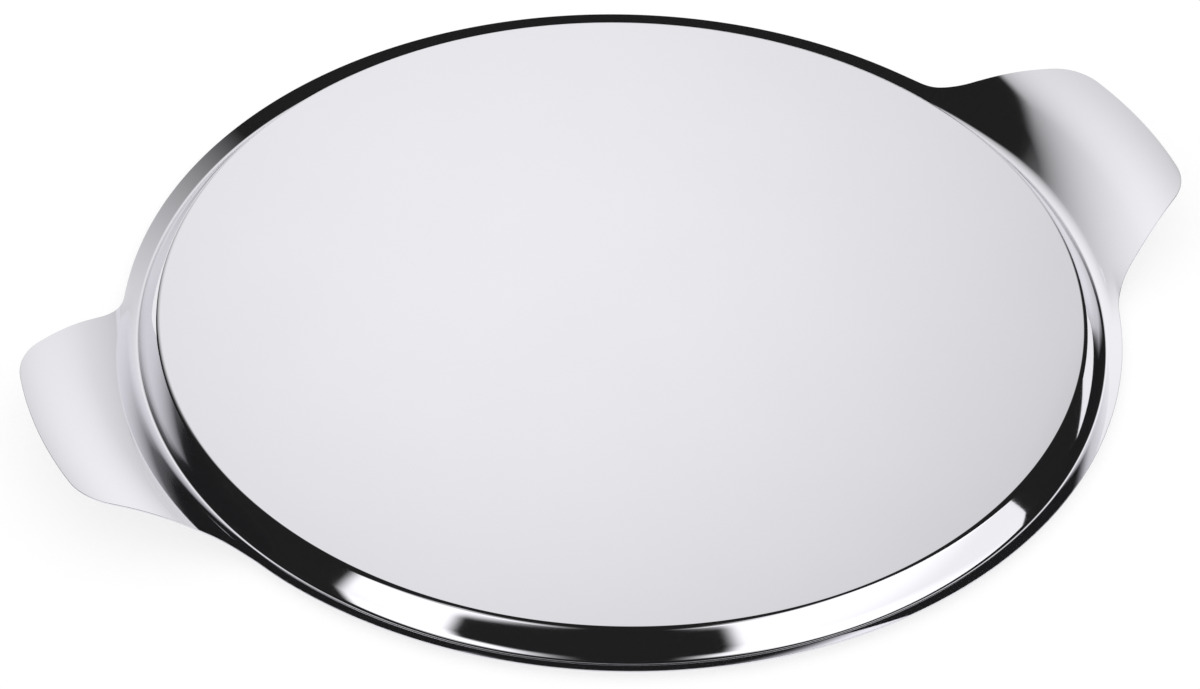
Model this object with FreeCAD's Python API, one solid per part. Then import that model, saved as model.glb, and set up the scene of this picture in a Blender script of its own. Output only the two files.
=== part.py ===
"""Round cake tray, pressed and trimmed from one sheet of stainless steel.

The flat raised top carries the cake. Round it the sheet drops down a sloping
wall, which bulges slightly and flares at its foot, into a tight groove, whose
rounded underside is the ring that the tray stands on. Outside the groove the
sheet rises as a conical flange. It is trimmed to a round rim there, apart from
two lugs that bend up more steeply, rise above the top and level out as the
handles. All lengths are millimetres. The origin is on the table under the
centre, +X runs along the handles and +Z is up.
"""
import FreeCAD
import Part
import os
from math import acos, atan2, cos, degrees, pi, radians, sin, sqrt

# Sheet
sheet = 0.6

# Raised top and the wall down to the groove: bend radii, and slopes from the level
top_radius = 147.1
top_bend = 2.1
wall_bulge = 80.0
wall_slope = 51.5
wall_flare = 21.0
flare_turn = 6.5
groove_depth = 7.4
groove_bend = 1.2

# Flange from the groove's lowest ring out to the rim
rim_slope = 28.0
rim_run = 4.97

# Handles: the bend out of the flange, the steepest slope, the crown and the outline in plan
handle_bend = 3.0
handle_slope = 50.0
handle_crown = 41.7
handle_length = 32.7
handle_end_curve = 150.0
handle_end_half_width = 34.4
handle_side_angle = 31.0
handle_corner = 20.0
handle_root = 32.0

# Room that the uncut sheet and the trimming tool have past the tray
trim_room = 10.0


def wall():
    """Slope in degrees at the end of the top's bend, and the run out to the groove's lowest ring."""
    steepest, foot = radians(wall_slope), radians(wall_slope - flare_turn)
    flare_drop = wall_flare * (cos(foot) - cos(steepest))
    groove_drop = groove_bend * (1 - cos(foot))
    bulge_drop = groove_depth - top_bend - flare_drop - groove_drop
    slope = acos((bulge_drop + wall_bulge * cos(steepest)) / (wall_bulge - top_bend))
    run = top_bend * sin(slope) + wall_bulge * (sin(steepest) - sin(slope))
    run += wall_flare * (sin(steepest) - sin(foot)) + groove_bend * sin(foot)
    return degrees(slope), run


# Places that follow from the sizes above
top_slope, wall_run = wall()
top_height = sheet + groove_depth
groove_radius = top_radius + wall_run
rim_radius = groove_radius + rim_run
handle_reach = rim_radius + handle_length
blank_radius = handle_reach + trim_room


def sheet_steps():
    """The sheet's upper side from the centre out: straights, and bends by radius and turn.

    A bend that turns up has a positive turn.
    """
    flange = (rim_run - groove_bend * sin(radians(rim_slope))) / cos(radians(rim_slope))
    handle_start = rim_radius + handle_bend * (sin(radians(handle_slope)) - sin(radians(rim_slope)))
    crown_end = handle_start + handle_crown * sin(radians(handle_slope))
    return [
        ("straight", top_radius, 0.0),
        ("bend", top_bend, -top_slope),
        ("bend", wall_bulge, top_slope - wall_slope),
        ("bend", wall_flare, flare_turn),
        ("bend", groove_bend, wall_slope - flare_turn + rim_slope),
        ("straight", flange, 0.0),
        ("bend", handle_bend, handle_slope - rim_slope),
        ("bend", handle_crown, -handle_slope),
        ("straight", blank_radius - crown_end, 0.0),
    ]


def sheet_side(depth):
    """Edges of the sheet's section at a depth below its upper side, from the centre out."""
    edges = []
    x, z, heading = 0.0, top_height, 0.0

    def at_depth():
        return FreeCAD.Vector(x + depth * sin(heading), 0, z - depth * cos(heading))

    for kind, size, turn in sheet_steps():
        start = at_depth()
        if kind == "straight":
            x += size * cos(heading)
            z += size * sin(heading)
            edges.append(Part.LineSegment(start, at_depth()).toShape())
            continue
        up = 1 if turn > 0 else -1
        centre_x = x - up * size * sin(heading)
        centre_z = z + up * size * cos(heading)
        radius = size + up * depth
        points = [start]
        for share in (0.5, 1.0):
            angle = heading + radians(turn) * share
            side_x = centre_x + up * radius * sin(angle)
            side_z = centre_z - up * radius * cos(angle)
            points.append(FreeCAD.Vector(side_x, 0, side_z))
        heading += radians(turn)
        x = centre_x + up * size * sin(heading)
        z = centre_z - up * size * cos(heading)
        edges.append(Part.Arc(*points).toShape())
    return edges


def pressed_sheet():
    """The whole pressing before it is trimmed, as one turned solid."""
    upper = sheet_side(0.0)
    lower = sheet_side(sheet)
    centre = Part.LineSegment(lower[0].firstVertex().Point, upper[0].firstVertex().Point).toShape()
    outside = Part.LineSegment(upper[-1].lastVertex().Point, lower[-1].lastVertex().Point).toShape()
    wire = Part.Wire(Part.__sortEdges__([centre, outside] + upper + lower))
    return Part.Face(wire).revolve(FreeCAD.Vector(0, 0, 0), FreeCAD.Vector(0, 0, 1), 360)


def meet(point, along, from_centre, distance):
    """Where a line through a point, followed against its direction, is a distance from a centre."""
    gap = point - from_centre
    half = gap.dot(along)
    root = sqrt(half ** 2 - gap.dot(gap) + distance ** 2)
    return point - along * (root + half)


def arc_between(centre, radius, first, last):
    """An arc about a centre between two points on it, anticlockwise from the first."""
    start = atan2(first.y - centre.y, first.x - centre.x)
    stop = atan2(last.y - centre.y, last.x - centre.x)
    if stop <= start:
        stop += 2 * pi
    circle = Part.Circle(centre, FreeCAD.Vector(0, 0, 1), radius)
    return Part.ArcOfCircle(circle, start, stop).toShape()


def handle_outline():
    """The +Y half of the +X handle's outline, and the point where it leaves the round rim."""
    origin = FreeCAD.Vector(0, 0, 0)
    end_centre = FreeCAD.Vector(handle_reach - handle_end_curve, 0, 0)
    inset = handle_end_curve - sqrt(handle_end_curve ** 2 - handle_end_half_width ** 2)
    sharp_corner = FreeCAD.Vector(handle_reach - inset, handle_end_half_width, 0)
    angle = radians(handle_side_angle)
    along = FreeCAD.Vector(-cos(angle), sin(angle), 0)
    outward = FreeCAD.Vector(sin(angle), cos(angle), 0)

    corner = meet(sharp_corner - outward * handle_corner, along, end_centre,
                  handle_end_curve - handle_corner)
    root = meet(sharp_corner + outward * handle_root, along, origin, rim_radius + handle_root)
    corner_start = end_centre + (corner - end_centre).normalize() * handle_end_curve
    side_start = corner + outward * handle_corner
    side_stop = root - outward * handle_root
    rim_start = FreeCAD.Vector(root).normalize() * rim_radius
    tip = FreeCAD.Vector(handle_reach, 0, 0)
    edges = [
        arc_between(end_centre, handle_end_curve, tip, corner_start),
        arc_between(corner, handle_corner, corner_start, side_start),
        Part.LineSegment(side_start, side_stop).toShape(),
        arc_between(root, handle_root, rim_start, side_stop),
    ]
    return edges, rim_start


def trimming_tool():
    """A block whose walls are the tray's outline, tall enough to take in the whole sheet."""
    origin = FreeCAD.Vector(0, 0, 0)
    up = FreeCAD.Vector(0, 0, 1)
    upper, rim_start = handle_outline()
    lower = [edge.mirror(origin, FreeCAD.Vector(0, 1, 0)) for edge in upper]
    rim_stop = FreeCAD.Vector(-rim_start.x, rim_start.y, 0)
    half = upper + lower + [arc_between(origin, rim_radius, rim_start, rim_stop)]
    other = [edge.rotated(origin, up, 180) for edge in half]
    wire = Part.Wire(Part.__sortEdges__(half + other))
    height = top_height + handle_crown
    return Part.Face(wire).extrude(up * height).translate(up * -trim_room)


def tray():
    """The pressing, trimmed."""
    return pressed_sheet().common(trimming_tool()).Solids[0]


os.makedirs("parts", exist_ok=True)
shape = tray()
shape.exportStep("parts/tray.step")
box = shape.optimalBoundingBox(True, False)
print("tray", len(shape.Solids), "solid", shape.isValid(), "valid", round(shape.Volume), "mm3")
print("size", round(box.XLength, 2), round(box.YLength, 2), round(box.ZLength, 2), "from z", round(box.ZMin, 3))
print("wall slope under the top", round(top_slope, 2), "groove radius", round(groove_radius, 2))
print("rim radius", round(rim_radius, 3))
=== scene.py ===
"""Looks of the pressed steel cake tray: its exact polished surface, the studio round it and the camera."""

from collections import namedtuple
from math import acos, asin, atan2, ceil, cos, pi, radians, sin, sqrt, tan

import bpy
from mathutils import Matrix, Vector


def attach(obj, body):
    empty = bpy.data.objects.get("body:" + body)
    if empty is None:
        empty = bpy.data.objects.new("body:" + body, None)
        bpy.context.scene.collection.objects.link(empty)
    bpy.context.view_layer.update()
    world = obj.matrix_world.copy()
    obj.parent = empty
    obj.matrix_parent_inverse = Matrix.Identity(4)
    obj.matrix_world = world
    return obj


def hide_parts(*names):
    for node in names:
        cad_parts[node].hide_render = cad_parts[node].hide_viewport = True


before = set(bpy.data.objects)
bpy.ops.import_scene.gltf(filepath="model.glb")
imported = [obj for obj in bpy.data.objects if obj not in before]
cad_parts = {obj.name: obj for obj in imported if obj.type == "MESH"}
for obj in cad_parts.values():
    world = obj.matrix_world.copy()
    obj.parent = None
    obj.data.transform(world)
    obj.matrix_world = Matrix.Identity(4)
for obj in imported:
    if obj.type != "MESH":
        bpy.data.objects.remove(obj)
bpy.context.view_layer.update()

MM = 0.001

# The tray's driving sizes, in millimetres, as in the part's source
SHEET = 0.6
TOP_RADIUS = 147.1
TOP_BEND = 2.1
WALL_BULGE = 80.0
WALL_SLOPE = radians(51.5)
WALL_FLARE = 21.0
FLARE_TURN = radians(6.5)
GROOVE_DEPTH = 7.4
GROOVE_BEND = 1.2
RIM_SLOPE = radians(28.0)
RIM_RUN = 4.97
HANDLE_BEND = 3.0
HANDLE_SLOPE = radians(50.0)
HANDLE_CROWN = 41.7
HANDLE_LENGTH = 32.7
HANDLE_END_CURVE = 150.0
HANDLE_END_HALF_WIDTH = 34.4
HANDLE_SIDE_ANGLE = radians(31.0)
HANDLE_CORNER = 20.0
HANDLE_ROOT = 32.0

# The handles' roots are softer than the plain flange: a hollow bend, then a slight rise into the crown
ROOT_BEND = 9.0
ROOT_RISE = 80.0
ROOT_STOP = radians(33.0)

# Turns from a handle's axis within which it has that whole root, and past which it has none of it
ROOT_FULL = radians(17.0)
ROOT_END = radians(28.0)

# The sheet goes on level past the crown by this, more than the trimmed outline needs
LEVEL_END = 20.0

# The trimmed edge is eased by this radius
EDGE_EASE = 0.13

# How finely the surface is drawn: the outline's steps, and rows from the centre out to the edge
OUTLINE_STEP = 1.45
DISC_SHARES = (0.25, 0.55, 0.8, 0.94, 1.0)
ROWS_PER_RADIAN = 48.0 / pi
FLANGE_ROWS = 7
HANDLE_ROWS = 26
HANDLE_ROW_GROWTH = 1.3
EDGE_ROWS = 4

# A column that ends this far past the rim belongs to a handle
HANDLE_MARGIN = 0.02
ROUNDING = 1e-9

# The steel: two tints in faint clouds, and polishing lines close together along Y
STEEL_TINTS = ((0.785, 0.776, 0.815, 1.0), (0.805, 0.797, 0.835, 1.0))
CLOUD_SCALE = 26.0
CLOUD_DETAIL = 3.0
LINE_SCALE = (60.0, 2600.0, 400.0)
LINE_DETAIL = 2.0
LINE_ROUGHNESS = (0.03, 0.06)
LINE_BUMP = 0.02
LINE_DEPTH = 0.02 * MM

# Studio, in the photographer's frame: x to the right, y away, z up, the tray's +X turned from x
HANDLE_TURN = 0.435
PLAIN_LIGHT = 1.0
DARK = 0.016

# The far light's tone: its level in the middle, how it changes to the right and up, and how it bows
# along, across and up. Its units are angles, and it rises out of the sides' dark.
FAR_LEVEL = 1.07
FAR_TILT = (-0.265, -0.235)
FAR_BOW = (-0.412, -0.206, -0.27)
FAR_UNITS = (radians(50.0), radians(30.0))
FAR_MIDDLE = radians(35.0)
FAR_SIDES = (0.05, 0.12)

# Walls on the photographer's side. Places are steps to the right, or up, for each step nearer, and a
# pair is a soft edge's two ends. The right wall's edge leans out and softens with height.
RIGHT_LEVEL = 1.27
RIGHT_EDGE = 0.36
RIGHT_LEAN = 0.55
RIGHT_LEAN_RISE = (1.0, 2.5)
RIGHT_SOFT = 0.15
RIGHT_SOFTER = 0.22
RIGHT_SOFTER_RISE = (0.9, 2.0)

# The left wall leans out too, dims with height and lights up again at its top
LEFT_OUTSIDE = (-1.9, -1.6)
LEFT_INSIDE = (-0.56, -0.12)
LEFT_LEAN = 0.6
LEFT_LEAN_RISE = (2.6, 4.6)
LEFT_LEVEL = 1.3
LEFT_DIM = -0.85
LEFT_DIM_RISE = (1.0, 2.4)
LEFT_LIT = 0.75
LEFT_LIT_RISE = (2.8, 4.5)

# The dark gap where the camera stands, and the lit strip below the walls
GAP_LEFT = (-0.78, -0.66)
GAP_RIGHT = (0.42, 0.54)
GAP_BOTTOM = (0.44, 0.52)
GAP_TOP = (0.79, 0.9)
STRIP_TOP = (0.4, 0.5)
STRIP_LEVEL = 0.9

# The walls by the height of the way to them: dimmer low down, ending at the ceiling and at the sides
LOW_LEVEL = 0.84
LOW_RISE = (0.31, 0.47)
CEILING = (sin(radians(64.0)), sin(radians(73.0)))
SIDE_END = (0.06, 0.26)
SIDE_SHIFT = -0.3
SIDE_SHIFT_RISE = (0.64, 0.87)
LEAST = 0.001

# The black screen beyond the tray, in metres
SCREEN_DISTANCE = 0.3027
SCREEN_HALF_WIDTH = 6.0
SCREEN_HEIGHT = 6.0

# The screen's opening: how far each side moves for a metre along it, and its soft edge's two ends
OPENING_LEFT_LEAN = 0.592
OPENING_LEFT = (-0.4389, -0.3489)
OPENING_RIGHT_LEAN = 0.181
OPENING_RIGHT = (0.2548, 0.3448)
OPENING_BOTTOM_LEAN = -0.187
OPENING_BOTTOM = (0.0070, 0.0150)
OPENING_TOP_LEAN = -0.022
OPENING_TOP = (0.5383, 0.6583)

# The opening's tone, as the far light's, with its units in metres and the stretch that it changes over
OPENING_LEVEL = 1.0
OPENING_TILT = (-0.029, 0.046)
OPENING_BOW = (-0.306, 0.009, -0.102)
OPENING_UNITS = (0.3, 0.2)
OPENING_MIDDLE = 0.2576
OPENING_WIDE = (-0.5, 0.4)
OPENING_TALL = 1.5

# The white floor, in metres: its paint takes the shadow, and its glow shows as white
FLOOR_RADIUS = 6.0
FLOOR_SIDES = 96
FLOOR_DROP = 0.00005
FLOOR_PAINT = 0.4
FLOOR_GLOW = 0.62

# Camera: a 36 mm frame and a long lens, and in millimetres its place from the middle of the flat top
FRAME_WIDTH = 36.0
FRAME_PIXELS = 1200
FOCAL_PIXELS = 3187.9
PITCH = radians(41.37)
ROLL = 0.019
STAND = Vector((-6.847, -778.05, 662.77))
NEAREST_SEEN = 0.01


# Places that follow from the sizes

def wall():
    """Slope of the wall where it leaves the top's bend, and its run out to the groove's lowest ring."""
    below = WALL_FLARE * (cos(FOOT_SLOPE) - cos(WALL_SLOPE)) + GROOVE_BEND * (1 - cos(FOOT_SLOPE))
    level = GROOVE_DEPTH - TOP_BEND - below + WALL_BULGE * cos(WALL_SLOPE)
    slope = acos(level / (WALL_BULGE - TOP_BEND))
    run = TOP_BEND * sin(slope) + WALL_BULGE * (sin(WALL_SLOPE) - sin(slope))
    run += WALL_FLARE * (sin(WALL_SLOPE) - sin(FOOT_SLOPE)) + GROOVE_BEND * sin(FOOT_SLOPE)
    return slope, run


TOP_HEIGHT = SHEET + GROOVE_DEPTH
FOOT_SLOPE = WALL_SLOPE - FLARE_TURN
TOP_SLOPE, WALL_RUN = wall()
GROOVE_RADIUS = TOP_RADIUS + WALL_RUN
RIM_RADIUS = GROOVE_RADIUS + RIM_RUN
HANDLE_REACH = RIM_RADIUS + HANDLE_LENGTH
FLANGE_LENGTH = (RIM_RUN - GROOVE_BEND * sin(RIM_SLOPE)) / cos(RIM_SLOPE)


# The sheet's section

def root_slopes():
    """Slopes of a handle's root at the two ends of its hollow bend, with the crown left in place."""
    crown_x = RIM_RADIUS + HANDLE_BEND * (sin(HANDLE_SLOPE) - sin(RIM_SLOPE))
    crown_x += HANDLE_CROWN * sin(HANDLE_SLOPE)
    crown_z = SHEET + GROOVE_BEND * (1 - cos(RIM_SLOPE)) + FLANGE_LENGTH * sin(RIM_SLOPE)
    crown_z += HANDLE_BEND * (cos(RIM_SLOPE) - cos(HANDLE_SLOPE)) - HANDLE_CROWN * cos(HANDLE_SLOPE)
    groove = Vector((GROOVE_RADIUS, SHEET + GROOVE_BEND))
    past = ROOT_RISE - HANDLE_CROWN
    rise = Vector((crown_x + past * sin(ROOT_STOP), crown_z - past * cos(ROOT_STOP)))
    gap = rise - groove
    inner = ROOT_BEND - GROOVE_BEND
    turn = acos((inner ** 2 + gap.length ** 2 - (ROOT_BEND + ROOT_RISE) ** 2) / (2 * inner * gap.length))
    way = atan2(gap.y, gap.x) + turn
    bend = groove + Vector((cos(way), sin(way))) * inner
    return way - pi / 2, atan2(rise.x - bend.x, bend.y - rise.y)


# A stretch of the section between two radii. A straight has its first height as place and its slope as
# size. A bend has its centre as place, its radius as size, and 1 as way if it turns up, -1 if down.
Run = namedtuple("Run", "first last kind place size way")


def section(depth, at_handle):
    """Runs of the sheet's side at a depth below its upper side, from the centre out."""
    steps = [
        ("straight", TOP_RADIUS, 0.0),
        ("bend", TOP_BEND, -TOP_SLOPE),
        ("bend", WALL_BULGE, TOP_SLOPE - WALL_SLOPE),
        ("bend", WALL_FLARE, FLARE_TURN),
    ]
    if at_handle:
        low, high = root_slopes()
        steps += [
            ("bend", GROOVE_BEND, FOOT_SLOPE + low),
            ("bend", ROOT_BEND, high - low),
            ("bend", ROOT_RISE, ROOT_STOP - high),
            ("bend", HANDLE_CROWN, -ROOT_STOP),
        ]
    else:
        steps += [
            ("bend", GROOVE_BEND, FOOT_SLOPE + RIM_SLOPE),
            ("straight", FLANGE_LENGTH, 0.0),
            ("bend", HANDLE_BEND, HANDLE_SLOPE - RIM_SLOPE),
            ("bend", HANDLE_CROWN, -HANDLE_SLOPE),
        ]
    steps.append(("straight", LEVEL_END, 0.0))
    runs = []
    x, z, heading = 0.0, TOP_HEIGHT, 0.0
    for kind, size, turn in steps:
        first = x + depth * sin(heading)
        if kind == "straight":
            height = z - depth * cos(heading)
            x += size * cos(heading)
            z += size * sin(heading)
            runs.append(Run(first, x + depth * sin(heading), kind, height, heading, 0))
            continue
        way = 1 if turn > 0 else -1
        centre_x = x - way * size * sin(heading)
        centre_z = z + way * size * cos(heading)
        heading += turn
        x = centre_x + way * size * sin(heading)
        z = centre_z - way * size * cos(heading)
        centre = (centre_x, centre_z)
        runs.append(Run(first, x + depth * sin(heading), kind, centre, size + way * depth, way))
    return runs


def profile(runs, radius):
    """Height and slope of a section at a distance from the centre."""
    run = next((run for run in runs if radius <= run.last + ROUNDING), runs[-1])
    if run.kind == "straight":
        return run.place + (radius - run.first) * tan(run.size), run.size
    centre_x, centre_z = run.place
    share = max(-1.0, min(1.0, (radius - centre_x) / run.size))
    return centre_z - run.way * run.size * sqrt(1.0 - share ** 2), asin(run.way * share)


def root_share(spot):
    """How far a place has the handles' section, and how that changes anticlockwise."""
    angle = atan2(spot.y * (1 if spot.x > 0 else -1), abs(spot.x))
    left = (ROOT_END - abs(angle)) / (ROOT_END - ROOT_FULL)
    if left <= 0.0 or left >= 1.0:
        return float(left > 0.0), 0.0
    change = -6 * left * (1 - left) / (ROOT_END - ROOT_FULL)
    return left * left * (3 - 2 * left), change if angle > 0 else -change


def surface(side, spot):
    """Height and gradient of a side of the sheet at a place in plan."""
    plain, at_handle = side
    radius = spot.length
    away = spot.normalized()
    height, slope = profile(plain, radius)
    outwards, around = tan(slope), 0.0
    share, change = root_share(spot)
    if share > 0.0 and radius > GROOVE_RADIUS:
        other, slope = profile(at_handle, radius)
        around = change * (other - height) / radius
        outwards += share * (tan(slope) - outwards)
        height += share * (other - height)
    return height, away * outwards + Vector((-away.y, away.x)) * around


def bend_radii(run):
    """Distances from the centre at which a bend is drawn, without its first."""
    centre_x = run.place[0]
    start = asin(run.way * (run.first - centre_x) / run.size)
    stop = asin(run.way * (run.last - centre_x) / run.size)
    count = max(1, ceil(abs(stop - start) * ROWS_PER_RADIAN))
    angles = [start + (stop - start) * (i + 1) / count for i in range(count)]
    return [centre_x + run.way * run.size * sin(angle) for angle in angles]


# The outline in plan

def meet(point, along, centre, distance):
    """Where a line, followed against its direction, comes to a distance from a centre."""
    gap = point - centre
    half = gap.dot(along)
    return point - along * (sqrt(half ** 2 - gap.dot(gap) + distance ** 2) + half)


def arc_points(centre, radius, start, stop, outside=1):
    """Points of an arc and its outward normals, without its last point."""
    count = max(2, ceil(abs(stop - start) * radius / OUTLINE_STEP))
    made = []
    for i in range(count):
        angle = start + (stop - start) * i / count
        ray = Vector((cos(angle), sin(angle)))
        made.append((centre + ray * radius, ray * outside))
    return made


def quarter_outline():
    """The outline from the +X handle's tip to the +Y side, as points with outward normals."""
    origin = Vector((0.0, 0.0))
    end_centre = Vector((HANDLE_REACH - HANDLE_END_CURVE, 0.0))
    inset = HANDLE_END_CURVE - sqrt(HANDLE_END_CURVE ** 2 - HANDLE_END_HALF_WIDTH ** 2)
    sharp = Vector((HANDLE_REACH - inset, HANDLE_END_HALF_WIDTH))
    along = Vector((-cos(HANDLE_SIDE_ANGLE), sin(HANDLE_SIDE_ANGLE)))
    outward = Vector((sin(HANDLE_SIDE_ANGLE), cos(HANDLE_SIDE_ANGLE)))
    corner = meet(sharp - outward * HANDLE_CORNER, along, end_centre, HANDLE_END_CURVE - HANDLE_CORNER)
    root = meet(sharp + outward * HANDLE_ROOT, along, origin, RIM_RADIUS + HANDLE_ROOT)

    to_corner = corner - end_centre
    tip_turn = atan2(to_corner.y, to_corner.x)
    side_turn = atan2(outward.y, outward.x)
    points = arc_points(end_centre, HANDLE_END_CURVE, 0.0, tip_turn)
    points += arc_points(corner, HANDLE_CORNER, tip_turn, side_turn)
    side_start = corner + outward * HANDLE_CORNER
    side_stop = root - outward * HANDLE_ROOT
    count = ceil((side_stop - side_start).length / OUTLINE_STEP)
    points += [(side_start.lerp(side_stop, i / count), outward.copy()) for i in range(count)]
    root_turn = atan2(root.y, root.x)
    points += arc_points(root, HANDLE_ROOT, side_turn - pi, root_turn - pi, -1)
    points += arc_points(origin, RIM_RADIUS, root_turn, pi / 2)
    return points


def whole_outline():
    """The outline once round, anticlockwise from the +X handle's tip."""
    quarter = quarter_outline()
    side = [(Vector((0.0, RIM_RADIUS)), Vector((0.0, 1.0)))]
    back = [(Vector((-p.x, p.y)), Vector((-n.x, n.y))) for p, n in reversed(quarter)]
    half = quarter + side + back[:-1]
    other = [(-p, -n) for p, n in half]
    return half + other


# The surface's mesh

class Net:
    """Vertices with normals, and the faces between columns of them."""

    def __init__(self):
        self.places = []
        self.normals = []
        self.faces = []

    def add(self, place, normal):
        """A new vertex's number, from a place in millimetres."""
        self.places.append(place * MM)
        self.normals.append(normal.normalized())
        return len(self.places) - 1

    def face(self, corners, turned):
        self.faces.append(corners[::-1] if turned else corners)

    def strip(self, first, second, turned):
        """Faces between two runs of vertices of equal length."""
        for i in range(len(first) - 1):
            self.face([first[i], first[i + 1], second[i + 1], second[i]], turned)


def eased_edge(net, side, flip, point, outward):
    """The eased edge of a side: its inner place in plan, and its vertices out to the cut's wall."""
    gradient = surface(side, point)[1]
    lean = atan2(gradient.dot(outward), 1.0)
    inner = point - outward * (EDGE_EASE * (1.0 + flip * sin(lean)))
    height, gradient = surface(side, inner)
    lean = atan2(gradient.dot(outward), 1.0)
    face = Vector((-gradient.x, -gradient.y, 1.0)).normalized() * flip
    cut = Vector((outward.x, outward.y, 0.0))
    middle_z = height - flip * EDGE_EASE * cos(lean)
    middle = inner + outward * (flip * EDGE_EASE * sin(lean))
    start = pi / 2 + flip * lean
    made = []
    for i in range(1, EDGE_ROWS + 1):
        share = i / EDGE_ROWS
        angle = start * (1.0 - share)
        spot = middle + outward * (EDGE_EASE * cos(angle))
        z = middle_z + flip * EDGE_EASE * sin(angle)
        normal = face * (1.0 - share) + cut * share
        made.append(net.add(Vector((spot.x, spot.y, z)), normal))
    return inner, made


def build_side(net, side, flip, point, outward):
    """A side's column through an outline point: inner rows, handle rows and the eased edge."""
    inner, edge = eased_edge(net, side, flip, point, outward)
    disc, *bends, flange = side[0][:6]
    reach = inner.length
    ray = inner.normalized()

    def put(spot):
        height, gradient = surface(side, spot)
        return net.add(Vector((spot.x, spot.y, height)), Vector((-gradient.x, -gradient.y, 1.0)) * flip)

    rows = [put(ray * disc.last * share) for share in DISC_SHARES]
    for bend in bends:
        rows += [put(ray * radius) for radius in bend_radii(bend)]
    on_handle = reach > flange.last + HANDLE_MARGIN
    flange_run = (flange.last if on_handle else reach) - flange.first
    for i in range(1, FLANGE_ROWS + 1):
        rows.append(put(ray * (flange.first + flange_run * i / FLANGE_ROWS)))
    handle = []
    if on_handle:
        for i in range(1, HANDLE_ROWS + 1):
            share = (i / HANDLE_ROWS) ** HANDLE_ROW_GROWTH
            handle.append(put(ray * (flange.last + (reach - flange.last) * share)))
    return {"rows": rows, "handle": handle, "edge": edge}


def last_row(column):
    return (column["rows"] + column["handle"])[-1]


def join_sides(net, columns, centre, turned):
    """Faces of a whole side, between each column and the next."""
    for one, two in zip(columns, columns[1:] + columns[:1]):
        net.face([centre, one["rows"][0], two["rows"][0]], turned)
        net.strip(one["rows"], two["rows"], turned)
        first = one["rows"][-1:] + one["handle"]
        second = two["rows"][-1:] + two["handle"]
        if len(first) == len(second):
            net.strip(first, second, turned)
            continue
        leaving = len(first) > len(second)
        longer, end = (first, second[0]) if leaving else (second, first[0])
        for near, far in zip(longer, longer[1:]):
            net.face([near, far, end], turned == leaving)


def join_edges(net, columns):
    """The eased edges and the cut's wall between them."""
    for one, two in zip(columns, columns[1:] + columns[:1]):
        lines = []
        for upper, lower in (one, two):
            lines.append([last_row(upper)] + upper["edge"] + lower["edge"][::-1] + [last_row(lower)])
        net.strip(lines[0], lines[1], False)


def tray_net():
    """The tray's whole surface, with its true normals."""
    net = Net()
    outline = whole_outline()
    sides = []
    centres = []
    for depth, flip in ((0.0, 1), (SHEET, -1)):
        sides.append(((section(depth, False), section(depth, True)), flip))
        centres.append(net.add(Vector((0, 0, TOP_HEIGHT - depth)), Vector((0, 0, flip))))
    columns = []
    for point, outward in outline:
        columns.append([build_side(net, side, flip, point, outward) for side, flip in sides])
    for which, centre in enumerate(centres):
        join_sides(net, [column[which] for column in columns], centre, which == 1)
    join_edges(net, columns)
    return net


def tray_skin(material):
    """The tray as it is seen, in place of its CAD solid."""
    net = tray_net()
    mesh = bpy.data.meshes.new("tray_skin")
    mesh.from_pydata([tuple(place) for place in net.places], [], net.faces)
    mesh.validate()
    mesh.shade_smooth()
    mesh.normals_split_custom_set_from_vertices([tuple(normal) for normal in net.normals])
    mesh.materials.append(material)
    skin = bpy.data.objects.new("tray_skin", mesh)
    bpy.context.scene.collection.objects.link(skin)
    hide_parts("tray")
    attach(skin, "root")


# Material

def node(tree, kind, **values):
    made = tree.nodes.new(kind)
    for name, value in values.items():
        setattr(made, name, value)
    return made


def polished_steel():
    """Steel polished to a mirror, with a faint change of tint and very fine polishing lines."""
    material = bpy.data.materials.new("polished_steel")
    material.use_nodes = True
    tree = material.node_tree
    shader = tree.nodes["Principled BSDF"]
    shader.inputs["Metallic"].default_value = 1.0
    place = node(tree, "ShaderNodeTexCoord")

    cloud = node(tree, "ShaderNodeTexNoise")
    cloud.inputs["Scale"].default_value = CLOUD_SCALE
    cloud.inputs["Detail"].default_value = CLOUD_DETAIL
    tree.links.new(place.outputs["Object"], cloud.inputs["Vector"])
    colour = node(tree, "ShaderNodeMix", data_type="RGBA")
    colour.inputs["A"].default_value, colour.inputs["B"].default_value = STEEL_TINTS
    tree.links.new(cloud.outputs["Fac"], colour.inputs["Factor"])
    tree.links.new(colour.outputs["Result"], shader.inputs["Base Color"])

    stretch = node(tree, "ShaderNodeMapping")
    stretch.inputs["Scale"].default_value = LINE_SCALE
    lines = node(tree, "ShaderNodeTexNoise")
    lines.inputs["Scale"].default_value = 1.0
    lines.inputs["Detail"].default_value = LINE_DETAIL
    tree.links.new(place.outputs["Object"], stretch.inputs["Vector"])
    tree.links.new(stretch.outputs["Vector"], lines.inputs["Vector"])
    rough = node(tree, "ShaderNodeMapRange")
    rough.inputs["To Min"].default_value, rough.inputs["To Max"].default_value = LINE_ROUGHNESS
    tree.links.new(lines.outputs["Fac"], rough.inputs["Value"])
    tree.links.new(rough.outputs["Result"], shader.inputs["Roughness"])
    bump = node(tree, "ShaderNodeBump")
    bump.inputs["Strength"].default_value = LINE_BUMP
    bump.inputs["Distance"].default_value = LINE_DEPTH
    tree.links.new(lines.outputs["Fac"], bump.inputs["Height"])
    tree.links.new(bump.outputs["Normal"], shader.inputs["Normal"])
    return material


# Studio

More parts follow.
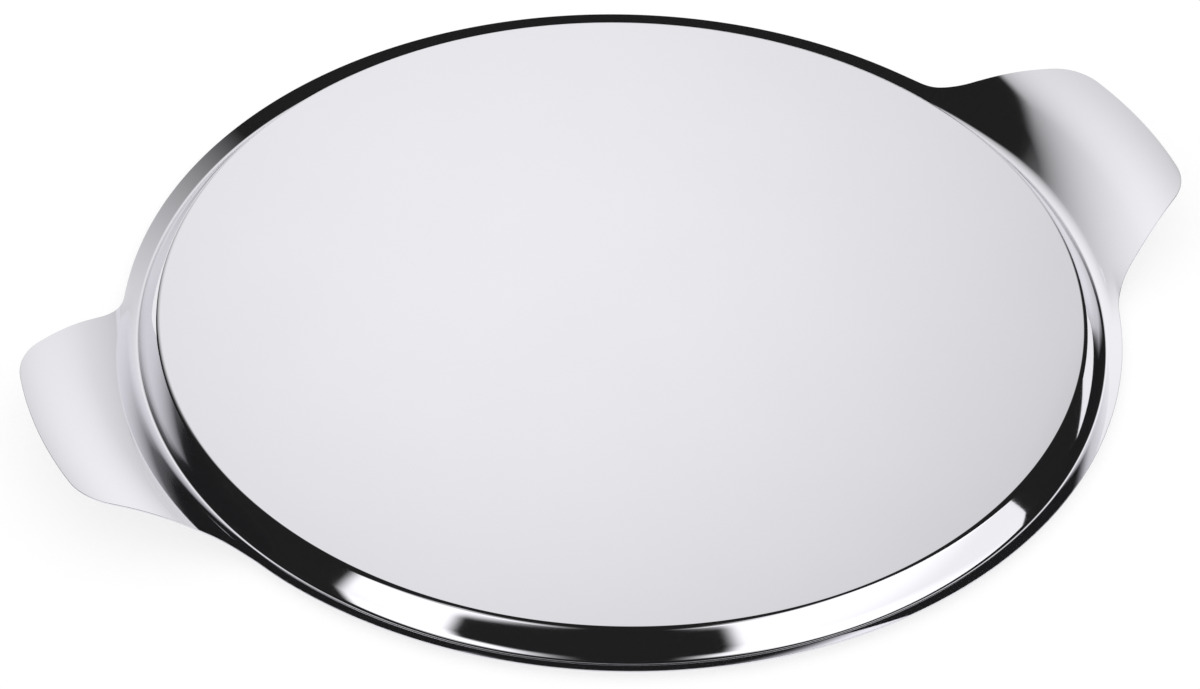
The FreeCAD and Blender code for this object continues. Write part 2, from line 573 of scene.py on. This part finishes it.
class Sums:
    """Arithmetic on a node tree's values."""

    def __init__(self, tree):
        self.tree = tree

    def math(self, operation, *values):
        made = node(self.tree, "ShaderNodeMath", operation=operation)
        for socket, value in zip(made.inputs, values):
            if isinstance(value, (int, float)):
                socket.default_value = value
            else:
                self.tree.links.new(value, socket)
        return made.outputs[0]

    def rise(self, value, low, high):
        """0 below low, 1 above high and a smooth step between."""
        made = node(self.tree, "ShaderNodeMapRange", interpolation_type="SMOOTHSTEP")
        self.tree.links.new(value, made.inputs["Value"])
        made.inputs["From Min"].default_value = low
        made.inputs["From Max"].default_value = high
        return made.outputs["Result"]

    def fall(self, value, low, high):
        return self.math("SUBTRACT", 1.0, self.rise(value, low, high))

    def total(self, *values):
        made = values[0]
        for value in values[1:]:
            made = self.math("ADD", made, value)
        return made

    def product(self, *values):
        made = values[0]
        for value in values[1:]:
            made = self.math("MULTIPLY", made, value)
        return made

    def step(self, value, ends, amount):
        """0 before a soft edge and an amount after it."""
        return self.product(self.rise(value, *ends), amount)

    def within(self, value, low, high):
        return self.math("MINIMUM", self.math("MAXIMUM", value, low), high)

    def leaning(self, value, other, lean):
        """A coordinate moved by another one's share, so that an edge across it leans."""
        return self.math("MULTIPLY_ADD", other, lean, value)

    def tone(self, level, wide, tall, tilt, bow):
        """A level that changes with two coordinates, by a tilt along each and a bow over both."""
        return self.total(
            level,
            self.product(wide, tilt[0]),
            self.product(tall, tilt[1]),
            self.product(wide, wide, bow[0]),
            self.product(wide, tall, bow[1]),
            self.product(tall, tall, bow[2]),
        )

    def split(self, vector):
        made = node(self.tree, "ShaderNodeSeparateXYZ")
        self.tree.links.new(vector, made.inputs["Vector"])
        return made.outputs


def far_light(sums, x, y, z):
    """The big light beyond the tray: brightest left of the middle, and dimmer to the right and up."""
    wide_unit, tall_unit = FAR_UNITS
    wide = sums.math("MULTIPLY", sums.math("ARCTAN2", x, y), 1.0 / wide_unit)
    tall = sums.math("MULTIPLY_ADD", sums.math("ARCSINE", z), 1.0 / tall_unit, -FAR_MIDDLE / tall_unit)
    level = sums.tone(FAR_LEVEL, wide, tall, FAR_TILT, FAR_BOW)
    return sums.product(sums.math("MAXIMUM", level, 0.0), sums.rise(y, *FAR_SIDES))


def right_wall(sums, across, tall):
    edge = sums.total(RIGHT_EDGE, sums.step(tall, RIGHT_LEAN_RISE, RIGHT_LEAN))
    soft = sums.total(RIGHT_SOFT, sums.step(tall, RIGHT_SOFTER_RISE, RIGHT_SOFTER))
    share = sums.math("DIVIDE", sums.math("SUBTRACT", across, edge), soft)
    return sums.step(share, (-1.0, 1.0), RIGHT_LEVEL)


def left_wall(sums, across, tall):
    shift = sums.step(tall, LEFT_LEAN_RISE, LEFT_LEAN)
    inside = sums.fall(sums.math("ADD", across, shift), *LEFT_INSIDE)
    dim = sums.step(tall, LEFT_DIM_RISE, LEFT_DIM)
    lit = sums.step(tall, LEFT_LIT_RISE, LEFT_LIT)
    return sums.product(sums.rise(across, *LEFT_OUTSIDE), inside, sums.total(LEFT_LEVEL, dim, lit))


def camera_gap(sums, across, tall):
    return sums.product(
        sums.rise(across, *GAP_LEFT),
        sums.fall(across, *GAP_RIGHT),
        sums.rise(tall, *GAP_BOTTOM),
        sums.fall(tall, *GAP_TOP),
    )


def near_light(sums, x, y, z):
    """The white walls on the photographer's side, with the dark gap where the camera stands."""
    depth = sums.math("MAXIMUM", sums.math("MULTIPLY", y, -1.0), LEAST)
    across = sums.math("DIVIDE", x, depth)
    tall = sums.math("DIVIDE", z, depth)
    walls = sums.math("MAXIMUM", left_wall(sums, across, tall), right_wall(sums, across, tall))
    walls = sums.product(walls, sums.rise(tall, *STRIP_TOP))
    walls = sums.total(walls, sums.product(sums.fall(tall, *STRIP_TOP), STRIP_LEVEL))
    walls = sums.product(walls, sums.math("SUBTRACT", 1.0, camera_gap(sums, across, tall)))
    walls = sums.product(walls, sums.total(LOW_LEVEL, sums.step(z, LOW_RISE, 1.0 - LOW_LEVEL)))
    ahead = sums.math("DIVIDE", y, sums.math("MAXIMUM", sums.math("ABSOLUTE", x), LEAST))
    ahead = sums.math("ADD", ahead, sums.step(z, SIDE_SHIFT_RISE, SIDE_SHIFT))
    return sums.product(walls, sums.fall(z, *CEILING), sums.fall(ahead, *SIDE_END))


def studio_world():
    """White to the camera, plain and even on dull surfaces, and the studio's lights in mirrored ones."""
    world = bpy.data.worlds.new("studio")
    bpy.context.scene.world = world
    world.use_nodes = True
    tree = world.node_tree
    tree.nodes.clear()
    sums = Sums(tree)
    place = node(tree, "ShaderNodeTexCoord")
    turn = node(tree, "ShaderNodeMapping")
    turn.inputs["Rotation"].default_value = (0.0, 0.0, HANDLE_TURN)
    tree.links.new(place.outputs["Generated"], turn.inputs["Vector"])
    x, y, z = sums.split(turn.outputs["Vector"])
    lights = sums.total(far_light(sums, x, y, z), near_light(sums, x, y, z), DARK)
    path = node(tree, "ShaderNodeLightPath")
    choose = node(tree, "ShaderNodeMix", data_type="FLOAT")
    choose.inputs["A"].default_value = PLAIN_LIGHT
    tree.links.new(path.outputs["Is Glossy Ray"], choose.inputs["Factor"])
    tree.links.new(lights, choose.inputs["B"])
    light = node(tree, "ShaderNodeBackground")
    light.inputs["Color"].default_value = (1, 1, 1, 1)
    tree.links.new(choose.outputs["Result"], light.inputs["Strength"])
    out = node(tree, "ShaderNodeOutputWorld")
    tree.links.new(light.outputs[0], out.inputs["Surface"])


def bare_material(name):
    """A material with an empty node tree, and that tree."""
    material = bpy.data.materials.new(name)
    material.use_nodes = True
    material.node_tree.nodes.clear()
    return material, material.node_tree


def staged(name, corners, material):
    """A flat piece of the studio."""
    shape = bpy.data.meshes.new(name)
    shape.from_pydata(corners, [], [list(range(len(corners)))])
    shape.materials.append(material)
    made = bpy.data.objects.new(name, shape)
    bpy.context.scene.collection.objects.link(made)
    return made


def screen_opening(sums, x, z):
    """How far the screen lets light through: a leaning soft-edged window with its own tone."""
    left = sums.rise(sums.leaning(x, z, OPENING_LEFT_LEAN), *OPENING_LEFT)
    right = sums.fall(sums.leaning(x, z, OPENING_RIGHT_LEAN), *OPENING_RIGHT)
    bottom = sums.rise(sums.leaning(z, x, OPENING_BOTTOM_LEAN), *OPENING_BOTTOM)
    top = sums.fall(sums.leaning(z, x, OPENING_TOP_LEAN), *OPENING_TOP)
    wide_unit, tall_unit = OPENING_UNITS
    wide = sums.product(sums.within(x, *OPENING_WIDE), 1.0 / wide_unit)
    tall = sums.math("MULTIPLY_ADD", z, 1.0 / tall_unit, -OPENING_MIDDLE / tall_unit)
    tall = sums.math("MINIMUM", tall, OPENING_TALL)
    tone = sums.tone(OPENING_LEVEL, wide, tall, OPENING_TILT, OPENING_BOW)
    return sums.product(left, right, bottom, top, sums.within(tone, 0.0, 1.0))


def window_screen():
    """The black screen beyond the tray, with the soft-edged opening that the big light comes through."""
    material, tree = bare_material("window_screen")
    sums = Sums(tree)
    place = node(tree, "ShaderNodeTexCoord")
    along = sums.split(place.outputs["Object"])
    cloth = node(tree, "ShaderNodeEmission")
    cloth.inputs["Strength"].default_value = DARK
    clear = node(tree, "ShaderNodeBsdfTransparent")
    choose = node(tree, "ShaderNodeMixShader")
    tree.links.new(screen_opening(sums, along["X"], along["Z"]), choose.inputs["Fac"])
    tree.links.new(cloth.outputs[0], choose.inputs[1])
    tree.links.new(clear.outputs[0], choose.inputs[2])
    out = node(tree, "ShaderNodeOutputMaterial")
    tree.links.new(choose.outputs[0], out.inputs["Surface"])
    corners = [
        (-SCREEN_HALF_WIDTH, SCREEN_DISTANCE, 0.0),
        (SCREEN_HALF_WIDTH, SCREEN_DISTANCE, 0.0),
        (SCREEN_HALF_WIDTH, SCREEN_DISTANCE, SCREEN_HEIGHT),
        (-SCREEN_HALF_WIDTH, SCREEN_DISTANCE, SCREEN_HEIGHT),
    ]
    made = staged("window_screen", corners, material)
    made.matrix_world = Matrix.Rotation(-HANDLE_TURN, 4, "Z")
    made.visible_camera = False
    made.visible_diffuse = False
    made.visible_transmission = False
    made.visible_shadow = False


def floor():
    """A white floor that keeps a soft shadow and shows as white in the metal too."""
    material, tree = bare_material("white_floor")
    sums = Sums(tree)
    paint = node(tree, "ShaderNodeBsdfDiffuse")
    paint.inputs["Color"].default_value = (FLOOR_PAINT, FLOOR_PAINT, FLOOR_PAINT, 1)
    glow = node(tree, "ShaderNodeEmission")
    path = node(tree, "ShaderNodeLightPath")
    rays = ("Is Camera Ray", "Is Glossy Ray", "Is Transmission Ray")
    seen = sums.total(*[path.outputs[ray] for ray in rays])
    tree.links.new(sums.product(sums.math("MINIMUM", seen, 1.0), FLOOR_GLOW), glow.inputs["Strength"])
    both = node(tree, "ShaderNodeAddShader")
    tree.links.new(paint.outputs[0], both.inputs[0])
    tree.links.new(glow.outputs[0], both.inputs[1])
    out = node(tree, "ShaderNodeOutputMaterial")
    tree.links.new(both.outputs[0], out.inputs["Surface"])
    turns = [2 * pi * i / FLOOR_SIDES for i in range(FLOOR_SIDES)]
    corners = [(FLOOR_RADIUS * cos(turn), FLOOR_RADIUS * sin(turn), -FLOOR_DROP) for turn in turns]
    staged("floor", corners, material)


def photo_camera():
    """A camera where the photographer stood, looking down by the pitch and tilted by the roll."""
    lens = bpy.data.cameras.new("camera")
    lens.lens = FOCAL_PIXELS / FRAME_PIXELS * FRAME_WIDTH
    lens.sensor_width = FRAME_WIDTH
    lens.clip_start = NEAREST_SEEN
    camera = bpy.data.objects.new("camera", lens)
    bpy.context.scene.collection.objects.link(camera)
    bpy.context.scene.camera = camera
    level_right = Vector((1, 0, 0))
    level_up = Vector((0, sin(PITCH), cos(PITCH)))
    forward = Vector((0, cos(PITCH), -sin(PITCH)))
    right = level_right * cos(ROLL) + level_up * sin(ROLL)
    up = level_up * cos(ROLL) - level_right * sin(ROLL)
    stand = STAND * MM
    pose = Matrix((
        (right.x, up.x, -forward.x, stand.x),
        (right.y, up.y, -forward.y, stand.y),
        (right.z, up.z, -forward.z, stand.z),
        (0, 0, 0, 1),
    ))
    top = Matrix.Translation((0, 0, TOP_HEIGHT * MM))
    camera.matrix_world = top @ Matrix.Rotation(-HANDLE_TURN, 4, "Z") @ pose


tray_skin(polished_steel())
studio_world()
window_screen()
floor()
photo_camera()
bpy.context.scene.view_settings.view_transform = "Standard"
